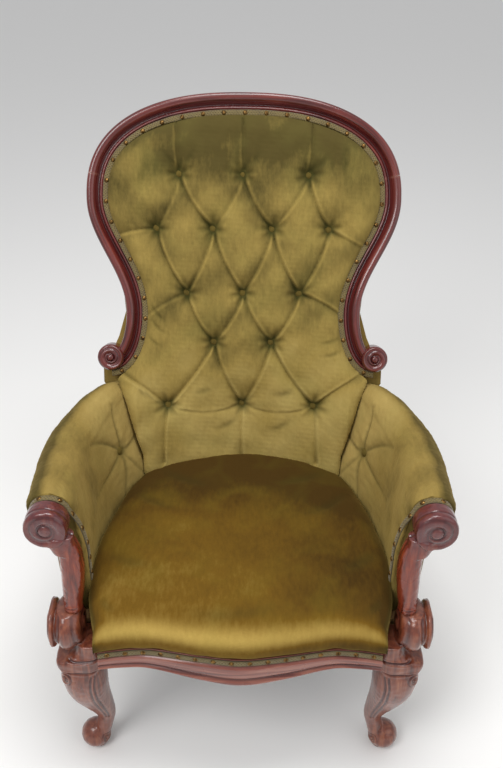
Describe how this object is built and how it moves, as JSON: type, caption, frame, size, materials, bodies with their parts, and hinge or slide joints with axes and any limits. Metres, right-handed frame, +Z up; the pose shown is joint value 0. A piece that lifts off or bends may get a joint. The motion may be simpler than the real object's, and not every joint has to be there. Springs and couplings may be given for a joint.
{
  "type": "upholstered armchair",
  "caption": "Sagging old armchair with a spoon-shaped deep-buttoned back, carved show-wood frame, rolled arms and worn velvet.",
  "frame": {"origin": "on the floor, under the middle of the chair's box", "axes": "+Z up, -Y the way the sitter faces, +X on the sitter's left; the chair is symmetric about X = 0"},
  "size_m": [0.7076, 0.797, 1.0596],
  "materials": {
    "mahogany": "old french polish, worn, semi-gloss",
    "beech": "bare, sawn",
    "velvet": "worn cotton velvet, olive gold",
    "gimp": "woven braid with domed brass studs",
    "hessian": "coarse jute weave",
    "black_cloth": "thin matt cotton",
    "spring_steel": "dull, aged",
    "brass": "aged, dull"
  },
  "bodies": {
    "root": {"arm_button_left": "velvet", "arm_button_right": "velvet", "arm_gimp_left": "gimp", "arm_gimp_right": "gimp", "arm_post_left": "mahogany", "arm_post_right": "mahogany", "arm_rail_left": "beech", "arm_rail_right": "beech", "back_button_01": "velvet", "back_button_02": "velvet", "back_button_03": "velvet", "back_button_04": "velvet", "back_button_05": "velvet", "back_button_06": "velvet", "back_button_07": "velvet", "back_button_08": "velvet", "back_button_09": "velvet", "back_button_10": "velvet", "back_button_11": "velvet", "back_button_12": "velvet", "back_button_13": "velvet", "back_button_14": "velvet", "back_button_15": "velvet", "back_gimp": "gimp", "back_hessian": "hessian", "back_leg_left": "mahogany", "back_leg_right": "mahogany", "back_pad": "velvet", "back_seat_rail": "beech", "back_side_rail_left": "mahogany", "back_side_rail_right": "mahogany", "back_webbing": "hessian", "bottom_cloth": "black_cloth", "corner_block_back_left": "beech", "corner_block_back_right": "beech", "corner_block_front_left": "beech", "corner_block_front_right": "beech", "crest_rail": "mahogany", "front_gimp": "gimp", "front_leg_left": "mahogany", "front_leg_right": "mahogany", "front_seat_rail": "mahogany", "inside_arm_pad_left": "velvet", "inside_arm_pad_right": "velvet", "lower_back_rail": "beech", "outside_arm_cover_left": "velvet", "outside_arm_cover_right": "velvet", "outside_back_cover": "velvet", "seat_cushion": "velvet", "seat_spring_1": "spring_steel", "seat_spring_2": "spring_steel", "seat_spring_3": "spring_steel", "seat_spring_4": "spring_steel", "seat_spring_5": "spring_steel", "seat_spring_6": "spring_steel", "seat_spring_7": "spring_steel", "seat_webbing": "hessian", "side_seat_rail_left": "beech", "side_seat_rail_right": "beech", "spring_hessian": "hessian"}
  },
  "joints": []
}
